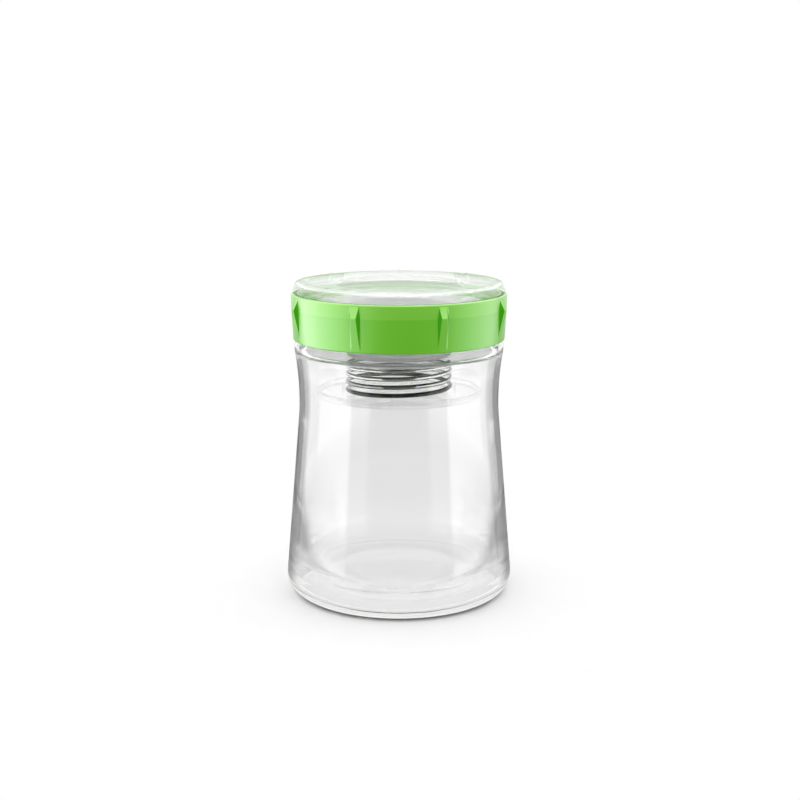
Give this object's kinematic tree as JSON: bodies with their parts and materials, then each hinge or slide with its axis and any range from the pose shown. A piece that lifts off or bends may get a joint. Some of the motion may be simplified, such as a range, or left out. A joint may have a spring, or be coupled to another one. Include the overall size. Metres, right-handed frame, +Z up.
{
  "type": "fermenting jar",
  "caption": "Waisted clear glass jar with a finned green lid ring, a clear cover and a spring-loaded press plate that holds food under its brine.",
  "frame": {"origin": "centre of the jar's foot, on the surface that it stands on", "axes": "+Z up the jar's axis, -Y towards the front"},
  "size_m": [0.1099, 0.11, 0.1523],
  "materials": {
    "clear_glass": "clear, polished",
    "silicone": "matte, translucent white",
    "clear_plastic": "clear, glossy",
    "stainless_wire": "drawn, bright",
    "green_plastic": "satin, moulded"
  },
  "bodies": {
    "jar": {"glass_jar": "clear_glass"},
    "inner_lid": {"inner_lid": "clear_plastic", "rim_gasket": "silicone", "vent_valve": "silicone", "press_spring": "stainless_wire"},
    "press": {"press_plate": "clear_plastic"},
    "ring": {"lid_ring": "green_plastic"},
    "cover": {"clear_cover": "clear_plastic"}
  },
  "joints": [
    {"name": "lid_lift", "type": "slide", "parent": "jar", "child": "inner_lid", "axis": [0, 0, 1], "range_m": [0, 0.075]},
    {"name": "press_travel", "type": "slide", "parent": "inner_lid", "child": "press", "axis": [0, 0, 1], "range_m": [0, 0.0055], "stiffness_N_per_m": 500, "deforming": ["press_spring"]},
    {"name": "ring_turn", "type": "hinge", "parent": "inner_lid", "child": "ring", "pos_m": [0, 0, 0.1412], "axis": [0, 0, 1], "range_deg": [-45, 0]},
    {"name": "cover_lift", "type": "slide", "parent": "ring", "child": "cover", "axis": [0, 0, 1], "range_m": [0, 0.02]}
  ]
}
